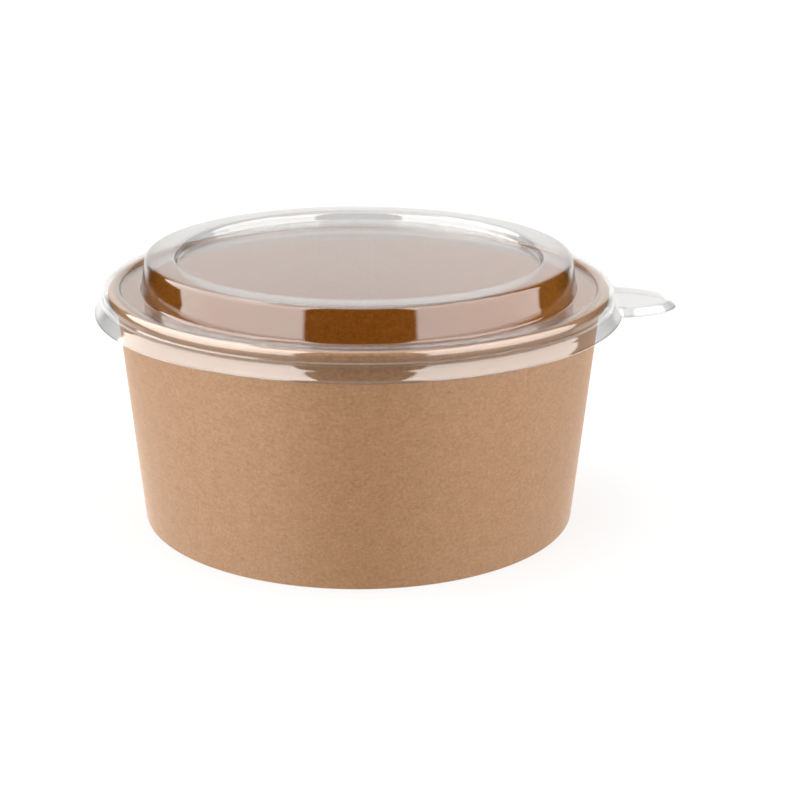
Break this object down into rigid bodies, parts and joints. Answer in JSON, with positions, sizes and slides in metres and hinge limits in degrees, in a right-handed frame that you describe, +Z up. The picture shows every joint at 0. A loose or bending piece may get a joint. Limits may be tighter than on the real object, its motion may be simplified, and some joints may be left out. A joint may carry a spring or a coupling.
{
  "type": "paper salad bowl with lid",
  "caption": "Round tapered kraft paper salad bowl with a rolled rim, closed by a clear press-on lid with a raised ring and a pull tab.",
  "frame": {"origin": "middle of the whole part's footprint, on the table; the bowl's own axis stands 8.5 mm towards -X from it, because the lid's tab reaches out on the +X side", "axes": "+Z up out of the bowl, +X from the bowl's axis through the lid's pull tab, +Y towards the lap seam at the back"},
  "size_m": [0.1751, 0.1582, 0.0811],
  "materials": {
    "wall_board": "brown kraft paper board, matte and faintly flecked, with a thin food film on the inside",
    "base_board": "brown kraft paper board, matte and faintly flecked",
    "clear_sheet": "clear thermoformed plastic sheet, smooth and glossy"
  },
  "bodies": {
    "root": {"side_wall": "wall_board", "base_disc": "base_board", "lid": "clear_sheet"}
  },
  "joints": []
}
